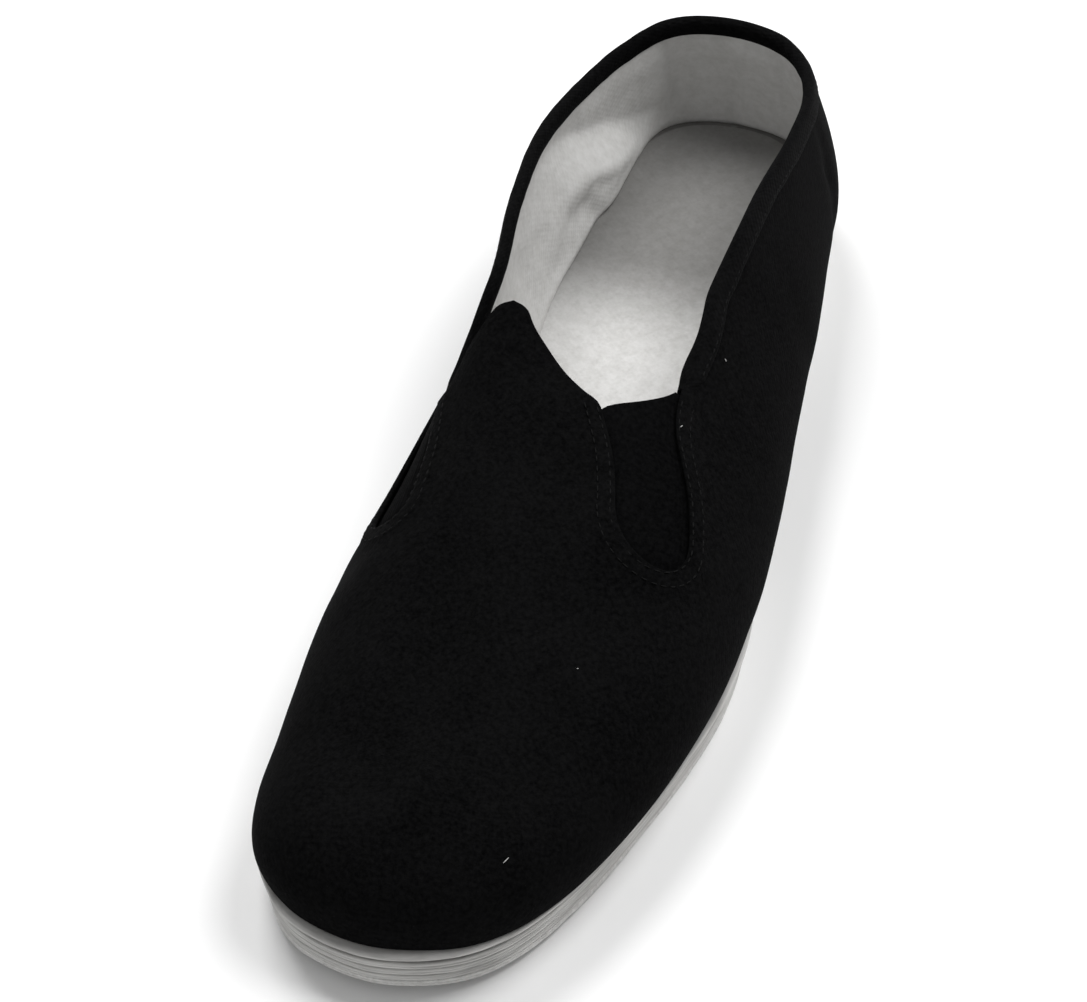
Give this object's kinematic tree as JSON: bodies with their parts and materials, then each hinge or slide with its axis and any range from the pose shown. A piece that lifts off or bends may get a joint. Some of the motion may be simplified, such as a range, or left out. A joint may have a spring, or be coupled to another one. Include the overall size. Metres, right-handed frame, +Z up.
{
  "type": "chinese cloth shoe",
  "caption": "Black cotton slip-on shoe for the left foot with a layered, hand-stitched white cotton sole, a tongue between elastic gores and a taped collar.",
  "frame": {"origin": "on the floor under the middle of the shoe's box", "axes": "+Y towards the heel, +Z up, +X towards the outer side of a left foot"},
  "size_m": [0.0942, 0.27, 0.0691],
  "materials": {
    "sole_cotton": "matte stitched cotton",
    "lining_cotton": "matte plain weave",
    "black_cotton": "matte brushed cotton",
    "black_elastic": "matte ribbed elastic",
    "black_tape": "matte woven tape"
  },
  "bodies": {
    "root": {"sole_ply_1": "sole_cotton", "sole_ply_2": "sole_cotton", "sole_ply_3": "sole_cotton", "sole_ply_4": "sole_cotton", "sole_ply_5": "sole_cotton", "insole": "lining_cotton", "upper": "black_cotton", "gore_lateral": "black_elastic", "gore_medial": "black_elastic", "collar_binding": "black_tape"}
  },
  "joints": []
}
